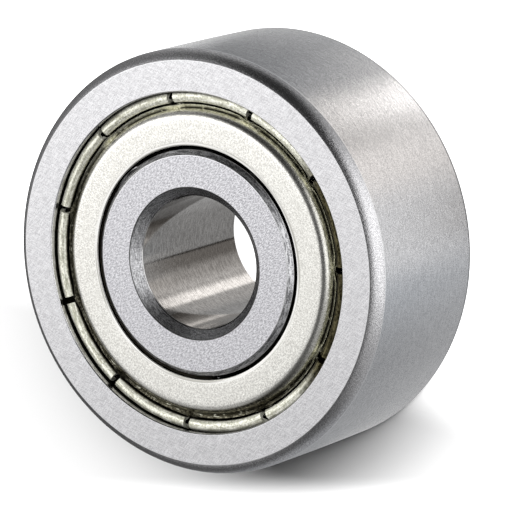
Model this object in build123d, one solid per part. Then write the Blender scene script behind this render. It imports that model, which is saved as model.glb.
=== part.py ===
"""Double-row ball track roller with sheet-metal shields, 10 x 32 x 14 mm.

Millimetres. The axis of the bore is Z, and the origin is at the middle of the bore,
half way along it. The roller stands on one end, so "upper" is the +Z half.
"""
from build123d import *
from math import cos, radians, sin, sqrt
import os

# Boundary sizes
OUTER_DIAMETER = 32.0
BORE_DIAMETER = 10.0
WIDTH = 14.0
CROWN_RADIUS = 500.0  # the running surface is slightly barrelled along the axis

# Ball rows
BALL_DIAMETER = 4.7625
BALLS_PER_ROW = 8
PITCH_INSET = 0.50  # the ball circle lies this much nearer the bore than half way, as the tyre is thicker
CONTACT_ANGLE = 25.0  # degrees; the two rows' contact lines spread towards the axis
RACE_CLEARANCE = 0.02  # between a ball and its race, along the contact line
GROOVE_EXCESS = 0.095  # how much a race groove's radius is larger than a ball's

# Turned and ground edges of the two rings
RIM_CHAMFER_FACE = 0.85  # across the end face
RIM_CHAMFER_SIDE = 0.90  # along the running surface
BORE_CHAMFER = 0.72
INNER_EDGE_CHAMFER = 0.30
MOUTH_BREAK = 0.08  # chamfer round the recess that holds a shield
INNER_SHOULDER_HEIGHT = 0.86  # each height is taken from the bottom of its race groove
INNER_RELIEF_HEIGHT = 0.36
OUTER_RIB_HEIGHT = 0.96
OUTER_LAND_HEIGHT = 0.46

# Sheet-metal shields, crimped into the outer ring
SHEET = 0.30
SHIELD_GAP = 0.32  # running gap between the shield's hole and the inner ring
SHIELD_DROP = 0.29  # the flat of the shield below the ring's end face
HOLE_ROUNDING = 0.14
SHOULDER_ROUNDING = 0.40
VALLEY_ROUNDING = 0.15
VALLEY_DROP = 1.15  # the floor of the shield's valley below the ring's end face
VALLEY_WIDTH = 0.42
SLOPE_WIDTH = 0.46  # the pressed slope between the flat and the valley
BEAD_RADIUS = 0.47  # outside radius of the curled rim
BEAD_DROP = 0.98  # the centre of the curl below the ring's end face
BEAD_GAP = 0.03  # between the curl and the mouth of the outer ring
TOE_ANGLE = 30.0  # degrees; the curl's outer leg leans this far outwards
SEAT_CLEARANCE = 0.02
RECESS_STEP = 0.87  # the mouth's radius less that of the land below it
LIP_HEIGHT = 0.42  # straight height of the mouth above the crimping groove
SLOT_COUNT = 11
SLOT_WIDTH = 0.50
SLOT_REACH = 0.16  # how far each slot runs into the valley, from the curl

# Moulded snap cages
CAGE_THICKNESS = 1.70  # in the radial direction
CAGE_WEB = 0.50  # behind each ball
CAGE_CHAMFER = 0.25
CAGE_GAP = 0.35  # between a cage and the shield over it
POCKET_CLEARANCE = 0.08
HORN_OVERHANG = 0.95  # how far the horns reach past the middle of the balls
HORN_GAP = 0.90
HORN_GAP_DEPTH = 1.90

# What follows from the sizes above
HALF_WIDTH = WIDTH / 2
OUTER_RADIUS = OUTER_DIAMETER / 2
BORE_RADIUS = BORE_DIAMETER / 2
PITCH_RADIUS = (OUTER_RADIUS + BORE_RADIUS) / 2 - PITCH_INSET
BALL_RADIUS = BALL_DIAMETER / 2
HALF_BALL_STEP = 180 / BALLS_PER_ROW
POCKET_RADIUS = BALL_RADIUS + POCKET_CLEARANCE
CAGE_TOP = HALF_WIDTH - SHIELD_DROP - SHEET - CAGE_GAP
ROW_HEIGHT = CAGE_TOP - CAGE_WEB - POCKET_RADIUS
GROOVE_RADIUS = BALL_RADIUS + GROOVE_EXCESS
GROOVE_SHIFT = GROOVE_EXCESS - RACE_CLEARANCE
SHIFT_OUT = GROOVE_SHIFT * cos(radians(CONTACT_ANGLE))
SHIFT_UP = GROOVE_SHIFT * sin(radians(CONTACT_ANGLE))
INNER_RACE = (PITCH_RADIUS + SHIFT_OUT, ROW_HEIGHT - SHIFT_UP)
OUTER_RACE = (PITCH_RADIUS - SHIFT_OUT, ROW_HEIGHT + SHIFT_UP)
INNER_BOTTOM = INNER_RACE[0] - GROOVE_RADIUS
OUTER_BOTTOM = OUTER_RACE[0] + GROOVE_RADIUS
SHOULDER_RADIUS = INNER_BOTTOM + INNER_SHOULDER_HEIGHT
RELIEF_RADIUS = INNER_BOTTOM + INNER_RELIEF_HEIGHT
RIB_RADIUS = OUTER_BOTTOM - OUTER_RIB_HEIGHT
LAND_RADIUS = OUTER_BOTTOM - OUTER_LAND_HEIGHT
MOUTH_RADIUS = LAND_RADIUS + RECESS_STEP
HOLE_RADIUS = SHOULDER_RADIUS + SHIELD_GAP
SEAT_HEIGHT = HALF_WIDTH - VALLEY_DROP - SHEET - SEAT_CLEARANCE
BEAD_MIDDLE = (MOUTH_RADIUS - BEAD_GAP - BEAD_RADIUS, HALF_WIDTH - BEAD_DROP)
VALLEY_OUT = BEAD_MIDDLE[0] - BEAD_RADIUS
VALLEY_IN = VALLEY_OUT - VALLEY_WIDTH
FLAT_OUT = VALLEY_IN - SLOPE_WIDTH
LEG_ANGLE = radians(TOE_ANGLE)
BEAD_TOP = (BEAD_MIDDLE[0], BEAD_MIDDLE[1] + BEAD_RADIUS)
LEG_START = (
    BEAD_MIDDLE[0] + BEAD_RADIUS * cos(LEG_ANGLE),
    BEAD_MIDDLE[1] + BEAD_RADIUS * sin(LEG_ANGLE),
)
# the leg is cut off square, so its inner corner is the one that comes down to the seat
LEG_LENGTH = (LEG_START[1] - SEAT_HEIGHT - SEAT_CLEARANCE - SHEET * sin(LEG_ANGLE)) / cos(LEG_ANGLE)
TOE = (LEG_START[0] + LEG_LENGTH * sin(LEG_ANGLE), LEG_START[1] - LEG_LENGTH * cos(LEG_ANGLE))
CRIMP_RADIUS = TOE[0] + SEAT_CLEARANCE


def turned(outline):
    """A solid of revolution about Z from a closed outline of (radius, height) edges."""
    return revolve(Plane.XZ * make_face(outline), Axis.Z)


def race_end(race, radius, side):
    """Where a race groove's circle meets a radius, above (1) or below (-1) its centre."""
    return (radius, race[1] + side * sqrt(GROOVE_RADIUS**2 - (radius - race[0]) ** 2))


def ring(far_edge, upper_half, middle):
    """A ring whose lower half mirrors its upper half, closed by one edge on each side."""
    return turned([far_edge, *upper_half, *mirror(upper_half, about=Plane.XZ), middle])


def outer_ring():
    """The tyre: crowned outside, two races and a rib inside, a crimping recess at each end."""
    side = HALF_WIDTH - RIM_CHAMFER_SIDE
    crown_drop = CROWN_RADIUS - sqrt(CROWN_RADIUS**2 - side**2)
    rim = (OUTER_RADIUS - crown_drop, side)
    lip = HALF_WIDTH - LIP_HEIGHT
    down_to_land = Polyline(
        rim,
        (OUTER_RADIUS - RIM_CHAMFER_FACE, HALF_WIDTH),
        (MOUTH_RADIUS + MOUTH_BREAK, HALF_WIDTH),
        (MOUTH_RADIUS, HALF_WIDTH - MOUTH_BREAK),
        (MOUTH_RADIUS, lip),
        (CRIMP_RADIUS, lip - (CRIMP_RADIUS - MOUTH_RADIUS)),
        (CRIMP_RADIUS, SEAT_HEIGHT),
        (LAND_RADIUS, SEAT_HEIGHT),
        race_end(OUTER_RACE, LAND_RADIUS, 1),
    )
    race = ThreePointArc(
        down_to_land @ 1, (OUTER_BOTTOM, OUTER_RACE[1]), race_end(OUTER_RACE, RIB_RADIUS, -1)
    )
    crown = ThreePointArc((rim[0], -rim[1]), (OUTER_RADIUS, 0), rim)
    rib = Line(race @ 1, (RIB_RADIUS, -(race @ 1).Y))
    return ring(crown, [*down_to_land.edges(), *race.edges()], rib)


def inner_ring():
    """The ring that stands still on its stud: a plain bore, two races and a relief between them."""
    down_to_race = Polyline(
        (BORE_RADIUS, HALF_WIDTH - BORE_CHAMFER),
        (BORE_RADIUS + BORE_CHAMFER, HALF_WIDTH),
        (SHOULDER_RADIUS - INNER_EDGE_CHAMFER, HALF_WIDTH),
        (SHOULDER_RADIUS, HALF_WIDTH - INNER_EDGE_CHAMFER),
        race_end(INNER_RACE, SHOULDER_RADIUS, 1),
    )
    race = ThreePointArc(
        down_to_race @ 1, (INNER_BOTTOM, INNER_RACE[1]), race_end(INNER_RACE, RELIEF_RADIUS, -1)
    )
    bore = Line((BORE_RADIUS, BORE_CHAMFER - HALF_WIDTH), (BORE_RADIUS, HALF_WIDTH - BORE_CHAMFER))
    relief = Line(race @ 1, (RELIEF_RADIUS, -(race @ 1).Y))
    return ring(bore, [*down_to_race.edges(), *race.edges()], relief)


def shield_sheet():
    """The upper shield before slotting: a pressed disc with a valley and a curled rim."""
    flat = HALF_WIDTH - SHIELD_DROP
    valley = HALF_WIDTH - VALLEY_DROP
    pressed = FilletPolyline(
        (HOLE_RADIUS, flat),
        (FLAT_OUT, flat),
        (VALLEY_IN, valley),
        (VALLEY_OUT, valley),
        (VALLEY_OUT, BEAD_MIDDLE[1]),
        radius=[SHOULDER_ROUNDING, VALLEY_ROUNDING, VALLEY_ROUNDING],
    )
    curl = ThreePointArc(pressed @ 1, BEAD_TOP, LEG_START)
    leg = Line(LEG_START, TOE)
    outside = Wire([*pressed.edges(), *curl.edges(), *leg.edges()])
    section = make_face(offset(outside, SHEET, side=Side.RIGHT, closed=True))
    hole_edge = section.vertices().group_by(Axis.X)[0].sort_by(Axis.Y)[-1]
    return revolve(Plane.XZ * fillet(hole_edge, HOLE_ROUNDING), Axis.Z)


def shield():
    """The upper shield, its curled rim slotted into tongues so that it can be crimped."""
    inner_end = VALLEY_OUT - SLOT_REACH
    length = CRIMP_RADIUS + SLOT_WIDTH - inner_end
    slot = extrude(SlotOverall(length, SLOT_WIDTH), HALF_WIDTH)
    slots = PolarLocations(inner_end + length / 2, SLOT_COUNT) * slot
    return shield_sheet() - slots


def ball_places(first):
    """The centres of the upper row's balls, the first one at the angle given."""
    return [loc.position + (0, 0, ROW_HEIGHT) for loc in PolarLocations(PITCH_RADIUS, BALLS_PER_ROW, first)]


def cage():
    """The upper row's cage: a moulded ring with spherical pockets that open downwards between horns."""
    inside, outside = PITCH_RADIUS - CAGE_THICKNESS / 2, PITCH_RADIUS + CAGE_THICKNESS / 2
    horn_tip = ROW_HEIGHT - HORN_OVERHANG
    body = turned(
        Polyline(
            (inside, horn_tip),
            (outside, horn_tip),
            (outside, CAGE_TOP - CAGE_CHAMFER),
            (outside - CAGE_CHAMFER, CAGE_TOP),
            (inside + CAGE_CHAMFER, CAGE_TOP),
            (inside, CAGE_TOP - CAGE_CHAMFER),
            close=True,
        )
    )
    pockets = [Pos(*place) * Sphere(POCKET_RADIUS) for place in ball_places(0)]
    gap_outline = Plane.YZ * Pos(0, horn_tip) * SlotOverall(2 * HORN_GAP_DEPTH, HORN_GAP, rotation=90)
    gap = extrude(gap_outline, PITCH_RADIUS + CAGE_THICKNESS)
    gaps = PolarLocations(0, BALLS_PER_ROW, HALF_BALL_STEP) * gap
    return body - pockets - gaps


def turned_over(solid):
    """The lower half's copy of a piece of the upper half, half way between its balls."""
    return Rot(0, 0, HALF_BALL_STEP) * mirror(solid, about=Plane.XY)


def pieces():
    """Every piece of the roller in its place, by name."""
    made = {"outer_ring": outer_ring(), "inner_ring": inner_ring()}
    upper_shield, upper_cage = shield(), cage()
    made["upper_shield"], made["lower_shield"] = upper_shield, mirror(upper_shield, about=Plane.XY)
    made["upper_cage"], made["lower_cage"] = upper_cage, turned_over(upper_cage)
    for number, place in enumerate(ball_places(0), 1):
        made[f"upper_ball_{number}"] = Pos(*place) * Sphere(BALL_RADIUS)
    for number, place in enumerate(ball_places(HALF_BALL_STEP), 1):
        made[f"lower_ball_{number}"] = Pos(place.X, place.Y, -place.Z) * Sphere(BALL_RADIUS)
    return made


os.makedirs("parts", exist_ok=True)
for name, solid in pieces().items():
    export_step(solid, f"parts/{name}.step")
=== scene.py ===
import bpy
import numpy as np
from mathutils import Euler, Matrix, Vector


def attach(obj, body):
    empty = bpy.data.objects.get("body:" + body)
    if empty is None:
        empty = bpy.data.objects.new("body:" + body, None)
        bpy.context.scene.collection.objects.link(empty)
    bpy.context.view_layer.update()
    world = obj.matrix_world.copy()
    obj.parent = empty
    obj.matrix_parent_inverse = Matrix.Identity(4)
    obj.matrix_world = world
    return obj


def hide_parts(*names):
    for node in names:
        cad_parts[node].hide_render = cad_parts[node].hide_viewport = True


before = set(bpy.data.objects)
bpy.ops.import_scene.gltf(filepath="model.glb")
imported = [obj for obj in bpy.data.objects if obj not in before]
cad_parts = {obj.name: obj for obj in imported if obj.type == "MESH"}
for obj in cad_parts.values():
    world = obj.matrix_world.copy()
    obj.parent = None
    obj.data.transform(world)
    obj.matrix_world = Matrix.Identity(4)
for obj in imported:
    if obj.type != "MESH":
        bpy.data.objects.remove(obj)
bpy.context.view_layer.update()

scene = bpy.context.scene
scene.view_settings.view_transform = "Standard"


# The studio: a pale floor under the roller, one big soft lamp above it, and a painted surround of
# bright and dark panels, which is what polished steel shows of a studio. The camera stands well
# back with a long lens. Places are in metres and turns in degrees.

CAMERA_PLACE, CAMERA_TURN = (0.02869, -0.18914, 0.28144), (-11.181, 32.432, -101.401)
LENS_LENGTH, SENSOR_WIDTH = 319.8, 36.0

camera = bpy.data.objects.new("camera", bpy.data.cameras.new("camera"))
camera.location = CAMERA_PLACE
camera.rotation_euler = Euler(np.radians(CAMERA_TURN))
camera.data.lens, camera.data.sensor_width = LENS_LENGTH, SENSOR_WIDTH
camera.data.clip_start, camera.data.clip_end = 0.01, 20.0
scene.collection.objects.link(camera)
scene.camera = camera
turn = camera.rotation_euler.to_matrix()


def add(tree, kind, inputs=None, **settings):
    """One shader node, with each input set to a value or linked to another node's socket."""
    made = tree.nodes.new("ShaderNode" + kind)
    for key, value in settings.items():
        setattr(made, key, value)
    for key, value in (inputs or {}).items():
        if isinstance(value, bpy.types.NodeSocket):
            tree.links.new(value, made.inputs[key])
        else:
            made.inputs[key].default_value = value
    return made


def math(tree, operation, *values):
    """The result of a Math node."""
    return add(tree, "Math", dict(enumerate(values)), operation=operation).outputs[0]


def overlap(tree, one, other):
    """Two masks multiplied together."""
    return math(tree, "MULTIPLY", one, other)


def ramp(tree, value, start, end, low=0.0, high=1.0):
    """A value that goes smoothly from low to high as the input goes from start to end."""
    inputs = {0: value, 1: start, 2: end, 3: low, 4: high}
    return add(tree, "MapRange", inputs, interpolation_type="SMOOTHSTEP").outputs[0]


def length(tree, place):
    """How far a place is from the origin."""
    return add(tree, "VectorMath", {0: place}, operation="LENGTH").outputs["Value"]


def reach(tree, place, axis):
    """How far a place lies along an axis: their dot product."""
    return add(tree, "VectorMath", {0: place, 1: axis}, operation="DOT_PRODUCT").outputs["Value"]


def mixed(tree, factor, one, other):
    """A colour that goes from one to the other by a factor."""
    made = add(tree, "Mix", data_type="RGBA")
    for socket, value in zip((made.inputs[0], made.inputs[6], made.inputs[7]), (factor, one, other)):
        if isinstance(value, bpy.types.NodeSocket):
            tree.links.new(value, socket)
        else:
            socket.default_value = value
    return made.outputs[2]


def grey(level, warmth=0.0):
    """A grey with a little red added and blue taken away, or the other way round."""
    return (level * (1 + warmth), level, level * (1 - warmth), 1.0)


def painted(tree, direction, color, panels):
    """A colour by direction, with each panel laid over the ones before it.

    A panel is its colour and the ramps that bound it: an axis in the picture's own terms (right,
    up, towards the camera) and the two heights along that axis between which it fades in.
    """
    for shade, bounds in panels:
        inside = 1.0
        for axis, start, end in bounds:
            height = reach(tree, direction, turn @ Vector(axis).normalized())
            inside = overlap(tree, inside, ramp(tree, height, start, end))
        color = mixed(tree, inside, color, shade)
    return color


RIGHT, LEFT, UP, DOWN, BACK, NEAR = (1, 0, 0), (-1, 0, 0), (0, 1, 0), (0, -1, 0), (0, 0, -1), (0, 0, 1)
ROOM = [
    # dim walls, which the tyre's chamfer shows round its left and its top
    (grey(0.12), [((-0.42, -0.05, -0.91), 0.82, 0.91)]),
    (grey(0.19), [((-0.67, 0.40, -0.62), 0.88, 0.94)]),
    (grey(0.20), [((-0.62, 0.77, -0.15), 0.91, 0.95)]),
    (grey(0.15), [((-0.42, 0.87, 0.26), 0.90, 0.95)]),
    # the dark below the horizon, with a paler spot low on the left
    (grey(0.10), [(DOWN, 0.02, 0.40), (RIGHT, 0.60, 0.25)]),
    (grey(0.45), [((-0.70, -0.71, 0.02), 0.92, 0.97)]),
    # the grey far side, which the top of the running surface shows
    (grey(0.36, -0.02), [(RIGHT, -0.20, 0.02), (BACK, -0.1, 0.2)]),
    (grey(0.27, -0.02), [((0.05, 0.56, -0.83), 0.935, 0.985)]),
    # the window on the right, from the dull strip below it to the bright patch near its top
    (grey(0.61, -0.045), [(RIGHT, 0.50, 0.92), (UP, -0.50, -0.12), (BACK, -0.2, 0.1)]),
    (grey(0.97), [(RIGHT, 0.42, 0.48), (UP, -0.095, -0.055), (BACK, -0.2, 0.1)]),
    (grey(0.58, 0.05), [(RIGHT, 0.43, 0.48), (UP, 0.26, 0.50), (BACK, -0.2, 0.1)]),
    (grey(1.12, 0.05), [((0.80, 0.45, -0.39), 0.986, 0.996)]),
    (grey(0.74, 0.05), [(RIGHT, 0.43, 0.48), (LEFT, -0.64, -0.59), (UP, 0.22, 0.46), (BACK, -0.2, 0.1)]),
    # small patches straight behind and low on the right
    (grey(0.78), [((-0.04, 0.19, -0.98), 0.985, 0.998)]),
    (grey(0.40), [((0.38, -0.62, 0.68), 0.84, 0.96)]),
    # a bright screen beside the camera, and the dark round the camera and above it
    (grey(1.32), [(RIGHT, 0.08, 0.26), (NEAR, 0.20, 0.34), (UP, 0.60, 0.46), (DOWN, 0.56, 0.38)]),
    (grey(0.10), [(RIGHT, 0.22, 0.04), (RIGHT, -0.60, -0.40), (NEAR, 0.80, 0.90)]),
    (grey(0.03), [((-0.12, 0.74, 0.66), 0.75, 0.86), (RIGHT, 0.34, 0.16)]),
]
WALLS, FLOOR_LIGHT, BACKDROP = grey(0.45), grey(0.045), grey(1.0)

surround = bpy.data.worlds.new("studio")
scene.world = surround
surround.use_nodes = True
surround.cycles.sampling_method = "NONE"
tree = surround.node_tree
tree.nodes.clear()
ray = add(tree, "LightPath")
color = painted(tree, add(tree, "TexCoord").outputs["Generated"], WALLS, ROOM)
color = mixed(tree, ray.outputs["Is Diffuse Ray"], color, FLOOR_LIGHT)
seen = math(tree, "MAXIMUM", ray.outputs["Is Camera Ray"], ray.outputs["Is Transmission Ray"])
light = add(tree, "Background", {"Color": mixed(tree, seen, color, BACKDROP), "Strength": 1.0})
add(tree, "OutputWorld", {"Surface": light.outputs[0]})

# the lamp is a long strip, so that the shadow is soft along it and short across it
LAMP_TOWARD, LAMP_DISTANCE = (0.295, -0.317, 0.890), 0.60
LAMP_LENGTH, LAMP_WIDTH, LAMP_WATTS = 0.77, 0.18, 6.45

lamp = bpy.data.objects.new("lamp", bpy.data.lights.new("lamp", "AREA"))
lamp.data.shape, lamp.data.energy = "ELLIPSE", LAMP_WATTS
lamp.data.size, lamp.data.size_y = LAMP_LENGTH, LAMP_WIDTH
overhead = Vector(LAMP_TOWARD).normalized()
lengthwise = (Vector((0, 1, 0)) - overhead * overhead.y).normalized()
lamp.location = overhead * LAMP_DISTANCE
lamp.rotation_euler = Matrix((lengthwise, overhead.cross(lengthwise), overhead)).transposed().to_euler()
lamp.visible_glossy = False
scene.collection.objects.link(lamp)


def stand(name, middle, sideways, upwards, only_reflected):
    """A square part of the studio with an empty material, from its middle and two half sides."""
    corners = [middle + sideways * x + upwards * y for x, y in ((-1, -1), (1, -1), (1, 1), (-1, 1))]
    mesh = bpy.data.meshes.new(name)
    mesh.from_pydata([tuple(corner) for corner in corners], [], [(0, 1, 2, 3)])
    made = bpy.data.objects.new(name, mesh)
    scene.collection.objects.link(made)
    made.visible_glossy = only_reflected
    made.visible_camera = made.visible_diffuse = not only_reflected
    made.visible_shadow = made.visible_transmission = not only_reflected
    material = bpy.data.materials.new(name)
    material.use_nodes = True
    material.node_tree.nodes.clear()
    mesh.materials.append(material)
    return material.node_tree


def glow(tree, color, strength, gone):
    """The shader of a glowing surface that is clear where it is gone, and its output."""
    glowing = add(tree, "Emission", {"Color": color, "Strength": strength}).outputs[0]
    clear = add(tree, "BsdfTransparent").outputs[0]
    shown = add(tree, "MixShader", {0: gone, 1: glowing, 2: clear}).outputs[0]
    add(tree, "OutputMaterial", {"Surface": shown})


# the floor is bright enough to come out white, with the shadow left on it. It is lit from itself
# where it is seen through the bore, in front, on the right, and far off
FLOOR_HALF, FLOOR_HEIGHT, FLOOR_COLOR = 2.0, -0.00701, grey(0.80)
BORE_FLOOR, FAR_FLOOR = (0.0142, 0.0134), (0.04, 0.08)
FRONT_AXIS, FRONT_FLOOR = (-1, 0.065, 0), (0.0188, 0.0222)
RIGHT_AXIS, RIGHT_FLOOR = (-0.946, 0.323, 0), (0.0124, 0.0068)

east, north, up = Vector((1, 0, 0)), Vector((0, 1, 0)), Vector((0, 0, 1))
tree = stand("floor", up * FLOOR_HEIGHT, east * FLOOR_HALF, north * FLOOR_HALF, False)
place = add(tree, "TexCoord").outputs["Object"]
around = length(tree, place)
in_front, at_right = reach(tree, place, FRONT_AXIS), reach(tree, place, RIGHT_AXIS)
own = ramp(tree, around, *BORE_FLOOR)
for where, limits in ((in_front, FRONT_FLOOR), (around, FAR_FLOOR), (at_right, RIGHT_FLOOR)):
    own = math(tree, "MAXIMUM", own, ramp(tree, where, *limits))
strength = overlap(tree, add(tree, "LightPath").outputs["Is Camera Ray"], own)
lit = add(tree, "BsdfDiffuse", {"Color": FLOOR_COLOR}).outputs[0]
white = add(tree, "Emission", {"Color": grey(1.0), "Strength": strength}).outputs[0]
add(tree, "OutputMaterial", {"Surface": add(tree, "AddShader", {0: lit, 1: white}).outputs[0]})

# a soft box close by on the left, brighter towards its top, which the flat end faces reflect
BOX_TOWARD, BOX_UPWARD = (-0.888, -0.271, 0.371), (-0.25, 0.9626, 0.105)
BOX_DISTANCE, BOX_RISE, BOX_HALF = 0.15, 0.035, 0.13
BOX_LEVELS, BOX_SPAN, BOX_EDGE = (0.10, 2.00), (-0.09, 0.09), (0.085, 0.125)

toward, upward = turn @ Vector(BOX_TOWARD), turn @ Vector(BOX_UPWARD)
middle = toward * BOX_DISTANCE + upward * BOX_RISE
tree = stand("soft_box", middle, toward.cross(upward) * BOX_HALF, upward * BOX_HALF, True)
place = add(tree, "TexCoord").outputs["Object"]
aside = add(tree, "VectorMath", {0: place, 1: middle}, operation="DISTANCE").outputs["Value"]
spans = dict(enumerate((reach(tree, place, upward), *BOX_SPAN, *BOX_LEVELS)))
glow(tree, grey(1.0), add(tree, "MapRange", spans).outputs[0], ramp(tree, aside, *BOX_EDGE))

# a painted board far under the bore, which the bore's wall reflects: bands by the angle about the
# axis, each laid over the last from one angle in degrees to another
BOARD_HALF, BOARD_HEIGHT, BOARD_EDGE, BOARD_COLOR = 0.077, -0.107, (0.075, 0.077), grey(0.52)
BOARD = [
    (-108, -106.5, grey(0.03, 0.20)),
    (-105, -103, grey(0.30, 0.07)),
    (-88, -70, grey(0.70, 0.04)),
    (-66, -46, grey(1.05, 0.03)),
    (-42, -29, grey(2.40, 0.03)),
    (-20, -13, grey(0.85, 0.02)),
    (0, 25, grey(0.58)),
]

tree = stand("board", up * BOARD_HEIGHT, east * BOARD_HALF, north * BOARD_HALF, True)
split = add(tree, "SeparateXYZ", {0: add(tree, "TexCoord").outputs["Object"]})
angle = math(tree, "DEGREES", math(tree, "ARCTAN2", split.outputs[1], split.outputs[0]))
color = BOARD_COLOR
for start, end, shade in BOARD:
    color = mixed(tree, ramp(tree, angle, start, end), color, shade)
out = add(tree, "CombineXYZ", {0: split.outputs[0], 1: split.outputs[1]}).outputs[0]
glow(tree, color, 1.0, ramp(tree, length(tree, out), *BOARD_EDGE))


# The outer ring is the tyre that runs on the rail: bearing steel, turned, hardened and ground. Its
# edges are chamfered and just broken by the grinding, and a recess in each end holds a shield.

MM = 0.001  # sizes are in millimetres from here on
OUTER_RADIUS, HALF_WIDTH, CROWN_RADIUS = 16.0, 7.0, 500.0
RIM_CHAMFER_FACE, RIM_CHAMFER_SIDE, RIM_BULGE = 0.85, 0.90, 0.11
MOUTH_RADIUS, CRIMP_RADIUS, LAND_RADIUS, RIB_RADIUS = 12.818, 13.066, 11.948, 11.448
LIP_HEIGHT, LIP_SLOPE, SEAT_HEIGHT, MOUTH_BREAK = 6.58, 0.21, 5.53, 0.08
RIM_ROUNDING, FACE_ROUNDING, FINE_ROUNDING = 0.10, 0.05, 0.03
OUTER_RACE, INNER_RACE, GROOVE_RADIUS = (9.932, 3.1304), (10.068, 3.0671), 2.47625
RIB_HALF_WIDTH = 0.3


def arc(center, radius, start, end, count):
    """Points on a circle about a centre, between two angles in degrees."""
    angle = np.radians(np.linspace(start, end, count))
    return np.stack([center[0] + radius * np.cos(angle), center[1] + radius * np.sin(angle)], 1)


def race(center, from_radius, to_radius, inward):
    """A race groove: the arc of its circle from one radius to another, by way of its bottom."""
    first, last = (np.degrees(np.arccos((r - center[0]) / GROOVE_RADIUS)) for r in (from_radius, to_radius))
    return arc(center, GROOVE_RADIUS, *((360 - first, last) if inward else (first, -last)), 16)


def plain(points, rounding=0.0):
    """Outline rows of radius, height and the rounding at that point."""
    points = np.atleast_2d(points)
    return np.column_stack([points, np.full(len(points), rounding)])


def rounded(rows, steps=4):
    """A closed outline with its corners rounded, as rows of radius, height and edge mask.

    A rounding of radius q at a corner of half angle h starts q / tan(h) along each side and
    has its centre q / sin(h) along the bisector. A point just off each end keeps the sides flat.
    """
    corner, q = rows[:, :2], rows[:, 2]
    back = np.roll(corner, 1, 0) - corner
    on = np.roll(corner, -1, 0) - corner
    back /= np.linalg.norm(back, axis=1)[:, None]
    on /= np.linalg.norm(on, axis=1)[:, None]
    half = np.arccos(np.clip((back * on).sum(1), -1, 1)) / 2
    bisector = back + on
    bisector /= np.maximum(np.linalg.norm(bisector, axis=1), 1e-9)[:, None]
    cut = q / np.tan(np.clip(half, 1e-6, None))
    center = corner + bisector * (q / np.sin(half))[:, None]
    first, last = corner + back * cut[:, None] - center, corner + on * cut[:, None] - center
    share = np.linspace(0, 1, steps + 1)[None, :, None]
    span = (np.pi - 2 * half)[:, None, None]
    turning, safe = span >= 1e-4, np.sin(np.maximum(span, 1e-4))
    sweep = np.where(turning, np.sin((1 - share) * span) / safe, 1 - share)
    rest = np.where(turning, np.sin(share * span) / safe, share)
    bend = center[:, None] + sweep * first[:, None] + rest * last[:, None]
    before = (corner + back * (cut + 0.4 * q)[:, None])[:, None]
    after = (corner + on * (cut + 0.4 * q)[:, None])[:, None]
    points = np.concatenate([before, bend, after], 1)
    mask = np.zeros(points.shape[:2])
    mask[:, 1:-1] = (q > 0)[:, None]
    points, mask = points.reshape(-1, 2), mask.reshape(-1)
    keep = np.linalg.norm(points - np.roll(points, 1, 0), axis=1) > 1e-5
    return np.column_stack([points, mask])[keep]


def surface(name, points, quads, edge):
    """A shown object from points in millimetres, four-sided faces and an edge mask for each point."""
    mesh = bpy.data.meshes.new(name)
    mesh.from_pydata((points * MM).tolist(), [], quads.tolist())
    mesh.polygons.foreach_set("use_smooth", np.ones(len(quads), bool))
    mask = mesh.attributes.new("edge", "FLOAT", "POINT")
    mask.data.foreach_set("value", edge.astype(np.float32))
    made = bpy.data.objects.new(name, mesh)
    scene.collection.objects.link(made)
    return made


def turned(name, outline, turns=480):
    """A surface of revolution: each outline point's radius and height carried round the Z axis."""
    angle = np.arange(turns) * 2 * np.pi / turns
    r, z, edge = outline.T
    rows = np.outer(r, np.cos(angle)), np.outer(r, np.sin(angle)), np.outer(z, np.ones(turns))
    i, j = np.meshgrid(np.arange(len(r)), np.arange(turns), indexing="ij")
    ni, nj = (i + 1) % len(r), (j + 1) % turns
    quads = np.stack([i * turns + j, i * turns + nj, ni * turns + nj, ni * turns + j], 2)
    return surface(name, np.stack(rows, 2).reshape(-1, 3), quads.reshape(-1, 4), np.repeat(edge, turns))


def both_ends(upper):
    """A ring's outline from its upper half: the same again, mirrored and in reverse order."""
    return np.concatenate([upper, upper[::-1] * (1, -1, 1)])


side = HALF_WIDTH - RIM_CHAMFER_SIDE
crown_z = np.linspace(RIB_HALF_WIDTH, side, 9)
crown_r = OUTER_RADIUS - CROWN_RADIUS + np.sqrt(CROWN_RADIUS**2 - crown_z**2)
crown = np.column_stack([crown_r, crown_z])
rim = np.array((crown[-1], (OUTER_RADIUS - RIM_CHAMFER_FACE, HALF_WIDTH)))
share = np.linspace(0, 1, 9)[1:-1, None]
outward = (rim[1] - rim[0])[::-1] * (1, -1) / np.linalg.norm(rim[1] - rim[0])
rim_bulge = rim[0] + share * (rim[1] - rim[0]) + 4 * RIM_BULGE * share * (1 - share) * outward
tyre = np.concatenate([
    plain(crown[:-1]),
    plain(rim[0], RIM_ROUNDING),
    plain(rim_bulge),
    plain(rim[1], FACE_ROUNDING),
    plain((MOUTH_RADIUS + MOUTH_BREAK, HALF_WIDTH), FINE_ROUNDING),
    plain((MOUTH_RADIUS, HALF_WIDTH - MOUTH_BREAK), FINE_ROUNDING),
    plain((MOUTH_RADIUS, LIP_HEIGHT), FINE_ROUNDING),
    plain((CRIMP_RADIUS, LIP_HEIGHT - LIP_SLOPE), FINE_ROUNDING),
    plain([(CRIMP_RADIUS, SEAT_HEIGHT), (LAND_RADIUS, SEAT_HEIGHT)], FINE_ROUNDING),
    plain(race(OUTER_RACE, LAND_RADIUS, RIB_RADIUS, False)),
])
outline = rounded(both_ends(tyre))
# the rounded edge of the lower end is marked for a dark line of painted shade
lower_rim = (outline[:, 0] > OUTER_RADIUS - 0.2) & (outline[:, 1] < 0)
outline[lower_rim, 2] *= -1  # a mask below zero marks the dark edge at the end that stands down
outer_ring = turned("tyre", outline)
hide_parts("outer_ring")
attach(outer_ring, "roller")


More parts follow.
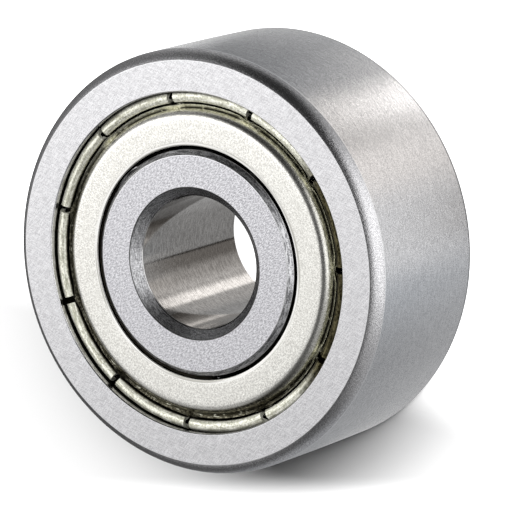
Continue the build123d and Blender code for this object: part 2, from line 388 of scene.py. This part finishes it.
def group(name, inputs, output):
    """An empty node group with named inputs and one output, and its two end nodes."""
    made = bpy.data.node_groups.new(name, "ShaderNodeTree")
    for label, kind in inputs.items():
        made.interface.new_socket(label, in_out="INPUT", socket_type="NodeSocket" + kind)
    made.interface.new_socket(output, in_out="OUTPUT", socket_type="NodeSocketFloat")
    return made, made.nodes.new("NodeGroupInput").outputs, made.nodes.new("NodeGroupOutput").inputs


def noise(tree, place, scale, detail, roughness):
    """The value of a noise texture."""
    inputs = {"Vector": place, "Scale": scale, "Detail": detail, "Roughness": roughness}
    return add(tree, "TexNoise", inputs).outputs[0]


# marks left by turning and grinding: noise drawn out along the circles about the axis
inputs = {"Place": "Vector", "Per mm": "Float", "Length": "Float", "Detail": "Float"}
round_marks, given, result = group("round_marks", inputs, "Mark")
upright = add(round_marks, "SeparateXYZ", {0: given["Place"]}).outputs[2]
flat = add(round_marks, "VectorMath", {0: given["Place"], 1: (1, 1, 0)}, operation="MULTIPLY").outputs[0]
heading = add(round_marks, "VectorMath", {0: flat}, operation="NORMALIZE").outputs[0]
across = math(round_marks, "ADD", length(round_marks, flat), math(round_marks, "MULTIPLY", upright, 1.37))
across = math(round_marks, "MULTIPLY", math(round_marks, "MULTIPLY", across, 1000.0), given["Per mm"])
across = add(round_marks, "CombineXYZ", {2: across}).outputs[0]
drawn = add(round_marks, "VectorMath", {0: heading, "Scale": given["Length"]}, operation="SCALE").outputs[0]
place = add(round_marks, "VectorMath", {0: drawn, 1: across}, operation="ADD").outputs[0]
round_marks.links.new(noise(round_marks, place, 1.0, given["Detail"], 0.6), result["Mark"])

# marks left by a flat grinding wheel: noise drawn out in one direction across the whole face
inputs = {"Place": "Vector", "Angle": "Float", "Per mm": "Float", "Length": "Float"}
straight_marks, given, result = group("straight_marks", inputs, "Mark")
inputs = {"Vector": given["Place"], "Angle": given["Angle"]}
place = add(straight_marks, "VectorRotate", inputs, rotation_type="Z_AXIS").outputs[0]
scale = add(straight_marks, "CombineXYZ", {0: given["Per mm"], 1: given["Length"], 2: 1.0}).outputs[0]
place = add(straight_marks, "VectorMath", {0: place, 1: scale}, operation="MULTIPLY").outputs[0]
straight_marks.links.new(noise(straight_marks, place, 1000.0, 2.0, 0.6), result["Mark"])

# fine grains and pits in a surface
speckle, given, result = group("speckle", {"Place": "Vector", "Per mm": "Float"}, "Grain")
scale = math(speckle, "MULTIPLY", given["Per mm"], 1000.0)
speckle.links.new(noise(speckle, given["Place"], scale, 3.0, 0.7), result["Grain"])


def use(tree, made, **inputs):
    """The first output of a node group with its inputs set by name."""
    placed = tree.nodes.new("ShaderNodeGroup")
    placed.node_tree = made
    for key, value in inputs.items():
        socket = placed.inputs[key.replace("_", " ")]
        if isinstance(value, bpy.types.NodeSocket):
            tree.links.new(value, socket)
        else:
            socket.default_value = value
    return placed.outputs[0]


def fresh(name):
    """An empty material with its Object coordinates, and the radius and height there in millimetres."""
    made = bpy.data.materials.new(name)
    made.use_nodes = True
    tree = made.node_tree
    tree.nodes.clear()
    place = add(tree, "TexCoord").outputs["Object"]
    flat = add(tree, "VectorMath", {0: place, 1: (1000, 1000, 0)}, operation="MULTIPLY").outputs[0]
    height = math(tree, "MULTIPLY", add(tree, "SeparateXYZ", {0: place}).outputs[2], 1000.0)
    return made, tree, place, length(tree, flat), height


def blend(tree, mask, one, other):
    """A number that goes from one to the other by a mask."""
    return add(tree, "Mix", {0: mask, 2: one, 3: other}).outputs[0]


def toned(tree, marks, low, high, dark, light):
    """A colour that goes from dark to light as the marks go from low to high."""
    return mixed(tree, ramp(tree, marks, low, high), dark, light)


def finish(tree, color, roughness, bump, depth, metallic=1.0):
    """The shader and its output: colour, roughness and a bump whose depth is given in millimetres."""
    normal = add(tree, "Bump", {"Height": bump, "Distance": depth * MM, "Strength": 1.0}).outputs[0]
    inputs = {"Base Color": color, "Roughness": roughness, "Metallic": metallic, "Normal": normal}
    shader = add(tree, "BsdfPrincipled", inputs)
    add(tree, "OutputMaterial", {"Surface": shader.outputs[0]})


# the tones of the ground steel on the face and chamfer and on the running surface; painted shade in
# the recess and along the lower end; and a painted highlight on the broken edges
FACE_DARK, FACE_LIGHT = (0.53, 0.525, 0.54, 1), (0.86, 0.855, 0.87, 1)
SIDE_DARK, SIDE_LIGHT = (0.51, 0.51, 0.525, 1), (0.82, 0.82, 0.835, 1)
RECESS_SHADE_DARK, RECESS_SHADE_LIGHT = (0.025, 0.024, 0.02, 1), (0.30, 0.29, 0.26, 1)
EDGE_HIGHLIGHT, LOWER_EDGE_SHADE, LOWER_LINE_SHADE = (0.90, 0.90, 0.91, 1), (0.09, 0.09, 0.10, 1), (0.24, 0.24, 0.25, 1)
CHAMFER_ROUGHNESS, FACE_ROUGHNESS, SIDE_ROUGHNESS = 0.16, 0.30, 0.13
CHAMFER_RELIEF, MARK_DEPTH = 1.5, 0.006

steel, tree, place, radius, level = fresh("tyre_steel")
height = math(tree, "ABSOLUTE", level)
on_face = ramp(tree, height, HALF_WIDTH - 0.04, HALF_WIDTH - 0.01)
rim_out = ramp(tree, radius, OUTER_RADIUS - 0.14, OUTER_RADIUS - 0.08)
on_side = overlap(tree, rim_out, ramp(tree, height, side + 0.02, side - 0.04))
edge = add(tree, "Attribute", attribute_name="edge").outputs["Fac"]
rings = use(tree, round_marks, Place=place, Per_mm=6.0, Length=22.0, Detail=2.0)
one_way = use(tree, straight_marks, Place=place, Angle=0.5, Per_mm=12.0, Length=1.2)
other_way = use(tree, straight_marks, Place=place, Angle=-0.7, Per_mm=12.0, Length=1.2)
grain = use(tree, speckle, Place=place, Per_mm=12.0)
hatch = math(tree, "MULTIPLY", math(tree, "ADD", one_way, other_way), 0.5)
marks = blend(tree, on_face, grain, hatch)
marks = blend(tree, math(tree, "MULTIPLY", on_side, 0.45), marks, rings)
both = math(tree, "ADD", marks, grain)
color = toned(tree, both, 0.82, 1.18, FACE_DARK, FACE_LIGHT)
color = mixed(tree, on_side, color, toned(tree, both, 0.82, 1.18, SIDE_DARK, SIDE_LIGHT))
# painted shade: a dark line round the foot of the running surface, by the lower chamfer
near_foot = ramp(tree, level, 0.16 - side, 0.10 - side)
near_foot = overlap(tree, near_foot, ramp(tree, radius, OUTER_RADIUS - 0.20, OUTER_RADIUS - 0.14))
color = mixed(tree, near_foot, color, LOWER_LINE_SHADE)
# painted highlight: the rounded edges are coloured bright
color = mixed(tree, ramp(tree, edge, 0.0, 1.0), color, EDGE_HIGHLIGHT)
# painted shade: a dark line on the rounded edge of the end that stands down
color = mixed(tree, ramp(tree, edge, -0.3, -1.0), color, LOWER_EDGE_SHADE)
# painted shade: the recess under the lip is coloured dark for the shade that falls in it
recess_out = ramp(tree, radius, CRIMP_RADIUS + 0.034, CRIMP_RADIUS + 0.004)
in_recess = overlap(tree, recess_out, ramp(tree, height, LIP_HEIGHT + 0.02, LIP_HEIGHT - 0.08))
color = mixed(tree, in_recess, color, toned(tree, grain, 0.45, 0.75, RECESS_SHADE_DARK, RECESS_SHADE_LIGHT))
rough = blend(tree, on_face, CHAMFER_ROUGHNESS, FACE_ROUGHNESS)
rough = blend(tree, on_side, rough, SIDE_ROUGHNESS)
relief = blend(tree, on_side, blend(tree, on_face, CHAMFER_RELIEF, 1.0), 1.0)
finish(tree, color, rough, math(tree, "MULTIPLY", both, relief), MARK_DEPTH)
outer_ring.data.materials.append(steel)


# The inner ring stands still on its stud: the same steel, with a plain ground bore that has a wide
# chamfer at each mouth. Its end faces are a little greyer than the tyre's, and grainy.

BORE_RADIUS, BORE_CHAMFER, INNER_EDGE_CHAMFER = 5.0, 0.72, 0.38
SHOULDER_RADIUS, RELIEF_RADIUS = 8.50, 7.952
EDGE_ROUNDING, MOUTH_ROUNDING = 0.06, 0.07

hub = np.concatenate([
    plain((RELIEF_RADIUS, RIB_HALF_WIDTH)),
    plain(race(INNER_RACE, RELIEF_RADIUS, SHOULDER_RADIUS, True)),
    plain((SHOULDER_RADIUS, HALF_WIDTH - INNER_EDGE_CHAMFER), EDGE_ROUNDING),
    plain((SHOULDER_RADIUS - INNER_EDGE_CHAMFER, HALF_WIDTH), EDGE_ROUNDING),
    plain((BORE_RADIUS + BORE_CHAMFER, HALF_WIDTH), MOUTH_ROUNDING),
    plain((BORE_RADIUS, HALF_WIDTH - BORE_CHAMFER), EDGE_ROUNDING),
])
inner_ring = turned("hub_ring", rounded(both_ends(hub)))
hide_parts("inner_ring")
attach(inner_ring, "hub")

HUB_DARK, HUB_LIGHT = (0.40, 0.395, 0.42, 1), (0.84, 0.835, 0.865, 1)
STREAK_DARK, STREAK_LIGHT = (0.22, 0.22, 0.23, 1), (0.84, 0.84, 0.86, 1)
BORE_DARK, BORE_LIGHT = (0.25, 0.242, 0.235, 1), (0.43, 0.42, 0.41, 1)
GAP_SHADE, HUB_EDGE_HIGHLIGHT, MOUTH_EDGE_SHADE = (0.02, 0.02, 0.018, 1), (0.86, 0.86, 0.87, 1), (0.06, 0.06, 0.06, 1)
HUB_ROUGHNESS, BORE_ROUGHNESS, BORE_RELIEF = 0.34, 0.07, 0.22

steel, tree, place, radius, level = fresh("hub_steel")
height = math(tree, "ABSOLUTE", level)
on_face = ramp(tree, height, HALF_WIDTH - 0.10, HALF_WIDTH - 0.02)
in_bore = ramp(tree, radius, BORE_RADIUS + 0.10, BORE_RADIUS + 0.02)
edge = add(tree, "Attribute", attribute_name="edge").outputs["Fac"]
rings = use(tree, round_marks, Place=place, Per_mm=7.0, Length=10.0, Detail=2.0)
one_way = use(tree, straight_marks, Place=place, Angle=-0.4, Per_mm=13.0, Length=4.0)
grain = use(tree, speckle, Place=place, Per_mm=10.0)
both = math(tree, "ADD", blend(tree, on_face, rings, one_way), grain)
color = toned(tree, both, 0.82, 1.18, HUB_DARK, HUB_LIGHT)

# streaks round both chamfers, and painted shade in the running gap below the outer one
edge_in, mouth_out = SHOULDER_RADIUS - INNER_EDGE_CHAMFER, BORE_RADIUS + BORE_CHAMFER
at_rim = ramp(tree, radius, edge_in - 0.03, edge_in + 0.02)
on_edge = math(tree, "MAXIMUM", at_rim, ramp(tree, radius, mouth_out + 0.01, mouth_out - 0.04))
on_edge = overlap(tree, on_edge, ramp(tree, height, HALF_WIDTH, HALF_WIDTH - 0.03))
streaks = use(tree, round_marks, Place=place, Per_mm=26.0, Length=9.0, Detail=2.0)
streaks = math(tree, "ADD", streaks, grain)
color = mixed(tree, on_edge, color, toned(tree, streaks, 0.86, 1.16, STREAK_DARK, STREAK_LIGHT))
edge_foot = HALF_WIDTH - INNER_EDGE_CHAMFER
below = ramp(tree, height, edge_foot + 0.04, edge_foot - 0.06)
below = overlap(tree, below, ramp(tree, radius, 7.8, 7.9))
color = mixed(tree, below, color, GAP_SHADE)
# the bore's darker tone is partly the steel's own and partly painted shade inside the bore
color = mixed(tree, in_bore, color, toned(tree, both, 0.82, 1.18, BORE_DARK, BORE_LIGHT))
# painted highlight: the rounded edges are coloured bright
color = mixed(tree, edge, color, HUB_EDGE_HIGHLIGHT)
# painted shade: a thin dark ring on the rounded edge of the bore's mouth
at_mouth = overlap(tree, ramp(tree, radius, 6.0, 5.9), ramp(tree, radius, 5.5, 5.6))
color = mixed(tree, overlap(tree, edge, at_mouth), color, MOUTH_EDGE_SHADE)
relief = math(tree, "MULTIPLY", both, blend(tree, in_bore, 1.0, BORE_RELIEF))
finish(tree, color, blend(tree, in_bore, HUB_ROUGHNESS, BORE_ROUGHNESS), relief, MARK_DEPTH)
inner_ring.data.materials.append(steel)


# Each shield is pressed from thin steel sheet: a flat disc with a rounded shoulder, a valley, and
# a curled rim cut into tongues, which are crimped into the recess in the tyre and turn with it.

SHEET, HOLE_RADIUS, HOLE_ROUNDING = 0.30, 8.772, 0.10
FLAT_HEIGHT, VALLEY_HEIGHT, SHOULDER_ROUNDING, VALLEY_ROUNDING = 6.71, 5.85, 0.80, 0.15
FLAT_OUT, VALLEY_IN, VALLEY_OUT = 11.28, 11.56, 11.92
BEAD_MIDDLE, BEAD_RADIUS, TOE_ANGLE, TOE_LENGTH = (12.37, 6.04), 0.44, 24.0, 0.62
SLOT_COUNT, SLOT_WIDTH, SLOT_END = 11, 0.50, 11.76
LIFT, LIFT_REACH, LIFT_RADIUS, LIFT_WIDTH = 0.34, 0.95, 11.74, 0.17
WAVE, LOOSE_RADIUS, LOOSE_WIDTH, BROKEN_EDGE = 0.005, 11.6, 0.4, 0.025


def sheet_sides():
    """The outer and inner side of the pressed sheet, station by station, as radius and height.

    The outer side is straight runs, roundings and the curl. The inner side is the outer one moved
    a sheet's thickness along its normal, and square under the rounded edge of the hole.
    """
    curl = arc(BEAD_MIDDLE, BEAD_RADIUS, 180, 30, 22)
    toe = np.radians(TOE_ANGLE)
    leg = np.array((np.sin(toe), -np.cos(toe))) * TOE_LENGTH
    pressed = rounded(np.concatenate([
        plain([(HOLE_RADIUS + HOLE_ROUNDING, FLAT_HEIGHT), (9.5, FLAT_HEIGHT), (10.1, FLAT_HEIGHT)]),
        plain((FLAT_OUT, FLAT_HEIGHT), SHOULDER_ROUNDING),
        plain([(VALLEY_IN, VALLEY_HEIGHT), (VALLEY_OUT, VALLEY_HEIGHT)], VALLEY_ROUNDING),
        plain(curl),
        plain(curl[-1] + np.outer(np.linspace(0.25, 1, 4), leg)),
    ]), 8)[:, :2]
    tangent = np.gradient(pressed, axis=0)
    tangent /= np.linalg.norm(tangent, axis=1)[:, None]
    beneath = pressed + SHEET * tangent[:, ::-1] * (1, -1)
    hole_middle = (HOLE_RADIUS + HOLE_ROUNDING, FLAT_HEIGHT - HOLE_ROUNDING)
    hole = arc(hole_middle, HOLE_ROUNDING, 180, 90, 7)[:-1]
    wall = np.column_stack([np.full(2, HOLE_RADIUS), FLAT_HEIGHT - SHEET + np.array((0.03, 0.09))])
    edge = np.concatenate([wall, hole])
    under_r = np.linspace(HOLE_RADIUS + 0.03, pressed[0, 0], len(edge), endpoint=False)
    under = np.column_stack([under_r, np.full(len(edge), FLAT_HEIGHT - SHEET)])
    return np.concatenate([edge, pressed]), np.concatenate([under, beneath])


def shield(seed):
    """A pressed and slotted shield: both sides of the sheet on one grid of station and angle.

    Between slots the angle runs evenly from one slot's edge to the next. A slot's edges are half
    its width from a line through the axis, so they lie at asin(half / radius) from its middle.
    The sheet is lifted beside each slot by a bell curve of the radius, and its rim waves a little
    by a sum of cosines of the angle. Where a cell borders a slot, the hole or the toe, a wall
    joins the two sides.
    """
    rng = np.random.default_rng(seed)
    waves = [(k, rng.uniform(-WAVE, WAVE), rng.uniform(0, 6.3)) for k in range(3, 40, 4)]
    sides = sheet_sides()
    close = np.array((0.004, 0.012, 0.025, 0.045))
    tongue = np.concatenate([(0,), close, np.linspace(0.07, 0.93, 27), 1 - close[::-1]])
    gap = np.linspace(-1, 1, 7)[:-1]
    sector = 2 * np.pi / SLOT_COUNT
    rows = []
    for r, z in (path.T[:, :, None] for path in sides):
        half = np.arcsin(SLOT_WIDTH / 2 / r)
        cell = np.concatenate([half * gap, half + (sector - 2 * half) * tongue], 1)
        angle = (cell[:, None] + sector * np.arange(SLOT_COUNT)[:, None]).reshape(len(r), -1)
        from_slot = np.abs((angle + sector / 2) % sector - sector / 2) * r
        bell = np.exp(-(((r - LIFT_RADIUS) / LIFT_WIDTH) ** 2))
        lift = LIFT * np.clip(1 - from_slot / LIFT_REACH, 0, 1) * bell
        wave = sum(height * np.cos(k * angle + phase) for k, height, phase in waves)
        wave = wave * np.clip((r - LOOSE_RADIUS) / LOOSE_WIDTH, 0, 1)
        rr = r + wave * 0.5
        rows.append(np.stack([rr * np.cos(angle), rr * np.sin(angle), z + lift + wave], 2))
    count, around = rows[0].shape[:2]
    i, j = np.meshgrid(np.arange(count - 1), np.arange(around), indexing="ij")
    in_slot = j % (len(gap) + len(tongue)) < len(gap)
    first_cut = np.argmax(sides[0][:, 0] >= SLOT_END)
    kept = ~(in_slot & (i >= first_cut))
    nj = (j + 1) % around
    corners = i * around + j, i * around + nj, (i + 1) * around + nj, (i + 1) * around + j
    top = np.stack(corners, 2)
    under = count * around
    quads = [top[kept][:, ::-1], top[kept] + under]
    padded = np.pad(kept, ((1, 1), (0, 0)))
    for border, one, two in (
        (kept & ~padded[:-2], corners[0], corners[1]),
        (kept & ~padded[2:], corners[2], corners[3]),
        (kept & ~np.roll(kept, -1, 1), corners[1], corners[2]),
        (kept & ~np.roll(kept, 1, 1), corners[3], corners[0]),
    ):
        one, two = one[border], two[border]
        quads.append(np.stack([two, one, one + under, two + under], 1)[:, ::-1])
    used, quads = np.unique(np.concatenate(quads), return_inverse=True)
    points = np.concatenate([row.reshape(-1, 3) for row in rows])[used]
    return points, quads.reshape(-1, 4)


def softened(piece, width):
    """The piece with its cut edges broken by a narrow bevel."""
    bevel = piece.modifiers.new("broken_edges", "BEVEL")
    bevel.width, bevel.segments = width * MM, 2
    bevel.limit_method, bevel.angle_limit = "ANGLE", np.radians(50)
    bevel.harden_normals = True
    return piece


points, quads = shield(4)
no_edge = np.zeros(len(points))
upper_shield = softened(surface("upper_shield_sheet", points, quads, no_edge), BROKEN_EDGE)
lower_shield = surface("lower_shield_sheet", points * (1, 1, -1), quads[:, ::-1], no_edge)
softened(lower_shield, BROKEN_EDGE)

# thinly plated sheet, warm where it is curled and in the valley, with painted shade low down on one
# side below the flat, on one side of the curl, and in the valley
FLAT_DARK, FLAT_LIGHT = (0.63, 0.618, 0.58, 1), (0.98, 0.97, 0.92, 1)
HOLE_DARK, HOLE_LIGHT = (0.52, 0.51, 0.47, 1), (0.92, 0.91, 0.88, 1)
SLOPE_DARK, SLOPE_LIGHT = (0.50, 0.49, 0.36, 1), (0.88, 0.87, 0.76, 1)
SIDE_SHADE_DARK, SIDE_SHADE_LIGHT = (0.04, 0.036, 0.024, 1), (0.34, 0.32, 0.24, 1)
BEAD_DARK, BEAD_LIGHT = (0.48, 0.475, 0.38, 1), (0.97, 0.965, 0.86, 1)
BEAD_SHADE_DARK, BEAD_SHADE_LIGHT = (0.015, 0.013, 0.006, 1), (0.13, 0.115, 0.062, 1)
VALLEY_SHADE_DARK, VALLEY_SHADE_LIGHT = (0.035, 0.032, 0.02, 1), (0.75, 0.74, 0.62, 1)
BEAD_SHADE_TOWARD, SIDE_SHADE_TOWARD = (-198, -980, 0), (-664, 748, 0)
SHEET_ROUGHNESS, BEAD_ROUGHER, SHEET_MARK_DEPTH = 0.24, 0.16, 0.008

zinc, tree, place, radius, level = fresh("shield_steel")
height = math(tree, "ABSOLUTE", level)
rings = use(tree, round_marks, Place=place, Per_mm=7.0, Length=12.0, Detail=2.0)
lines = use(tree, round_marks, Place=place, Per_mm=5.0, Length=1.5, Detail=1.0)
fine = use(tree, speckle, Place=place, Per_mm=9.0)
grain = use(tree, speckle, Place=place, Per_mm=6.0)
coarse = use(tree, speckle, Place=place, Per_mm=2.2)
both = math(tree, "ADD", rings, grain)
on_slope = ramp(tree, height, FLAT_HEIGHT - 0.16, FLAT_HEIGHT - 0.46)
on_slope = overlap(tree, on_slope, ramp(tree, radius, VALLEY_OUT + 0.18, VALLEY_OUT))
in_valley = ramp(tree, height, VALLEY_HEIGHT + 0.27, VALLEY_HEIGHT + 0.13)
in_valley = overlap(tree, in_valley, ramp(tree, radius, VALLEY_OUT + 0.16, VALLEY_OUT + 0.08))
bead = ramp(tree, radius, VALLEY_OUT + 0.01, VALLEY_OUT + 0.11)
near_hole = ramp(tree, radius, HOLE_RADIUS + 0.348, HOLE_RADIUS + 0.248)
# painted shade: the curl is darker on one side
bead_shade = math(tree, "ADD", reach(tree, place, BEAD_SHADE_TOWARD), coarse)
on_bead = overlap(tree, bead, ramp(tree, radius, BEAD_MIDDLE[0] + 0.35, BEAD_MIDDLE[0] + 0.27))
bead_shade = overlap(tree, ramp(tree, bead_shade, 8.6, 11.0), on_bead)
# painted shade: darker low down on one side, below the flat
side_shade = math(tree, "ADD", reach(tree, place, SIDE_SHADE_TOWARD), coarse)
side_shade = ramp(tree, side_shade, -2.0, 5.0)
side_shade = overlap(tree, side_shade, ramp(tree, height, FLAT_HEIGHT - 0.02, FLAT_HEIGHT - 0.13))
color = toned(tree, fine, 0.32, 0.68, FLAT_DARK, FLAT_LIGHT)
color = mixed(tree, near_hole, color, toned(tree, lines, 0.40, 0.60, HOLE_DARK, HOLE_LIGHT))
color = mixed(tree, on_slope, color, toned(tree, grain, 0.35, 0.62, SLOPE_DARK, SLOPE_LIGHT))
color = mixed(tree, side_shade, color, toned(tree, grain, 0.40, 0.70, SIDE_SHADE_DARK, SIDE_SHADE_LIGHT))
color = mixed(tree, bead, color, toned(tree, both, 0.82, 1.18, BEAD_DARK, BEAD_LIGHT))
color = mixed(tree, bead_shade, color, toned(tree, both, 0.82, 1.18, BEAD_SHADE_DARK, BEAD_SHADE_LIGHT))
# painted shade in the valley, broken by light streaks
valley_shade = toned(tree, math(tree, "ADD", rings, coarse), 1.10, 1.22, VALLEY_SHADE_DARK, VALLEY_SHADE_LIGHT)
color = mixed(tree, in_valley, color, valley_shade)
rough = math(tree, "ADD", SHEET_ROUGHNESS, math(tree, "MULTIPLY", bead, BEAD_ROUGHER))
dull = math(tree, "SUBTRACT", 1.0, math(tree, "MULTIPLY", math(tree, "SUBTRACT", bead, bead_shade), 0.35))
relief = math(tree, "ADD", 1.0, math(tree, "MULTIPLY", on_slope, 2.0))
finish(tree, color, rough, math(tree, "MULTIPLY", both, relief), SHEET_MARK_DEPTH, dull)
for piece, node in ((upper_shield, "upper_shield"), (lower_shield, "lower_shield")):
    piece.data.materials.append(zinc)
    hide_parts(node)
    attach(piece, "roller")


# The two cages are moulded in one piece each, of glass-filled polyamide in its natural cream, and
# snap over the balls. Only a sliver of them shows, through the slots and the running gap.

CREAM_DARK, CREAM_LIGHT, GAP_SHADE_ON_CAGE = (0.60, 0.53, 0.38, 1), (0.74, 0.68, 0.53, 1), (0.045, 0.04, 0.03, 1)
CAGE_ROUGHNESS, FIBRE_ROUGHER = 0.42, 0.12

polyamide, tree, place, radius, level = fresh("cage_polyamide")
clouds = use(tree, speckle, Place=place, Per_mm=0.8)
fibres = use(tree, speckle, Place=place, Per_mm=9.0)
color = mixed(tree, clouds, CREAM_DARK, CREAM_LIGHT)
# painted shade: the cage is coloured dark where it lies close under the running gap
color = mixed(tree, ramp(tree, radius, 9.6, 9.1), color, GAP_SHADE_ON_CAGE)
rough = math(tree, "ADD", CAGE_ROUGHNESS, math(tree, "MULTIPLY", fibres, FIBRE_ROUGHER))
finish(tree, color, rough, fibres, MARK_DEPTH, 0.0)
for name in ("upper_cage", "lower_cage"):
    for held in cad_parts[name].material_slots:
        held.material = polyamide


# The balls are hardened chrome steel, lapped to a mirror and wetted with a film of grease. Two rows
# of eight run between the rings, each row held apart by its cage.

BALL_DARK, BALL_LIGHT, FILM_DEPTH = (0.66, 0.66, 0.67, 1), (0.74, 0.74, 0.75, 1), 0.001

lapped, tree, place, radius, level = fresh("ball_steel")
film = use(tree, speckle, Place=place, Per_mm=1.2)
color = mixed(tree, film, BALL_DARK, BALL_LIGHT)
finish(tree, color, ramp(tree, film, 0.3, 0.8, 0.05, 0.12), film, FILM_DEPTH)
for row in ("upper", "lower"):
    for number in range(1, 9):
        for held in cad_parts[f"{row}_ball_{number}"].material_slots:
            held.material = lapped


bpy.context.view_layer.update()
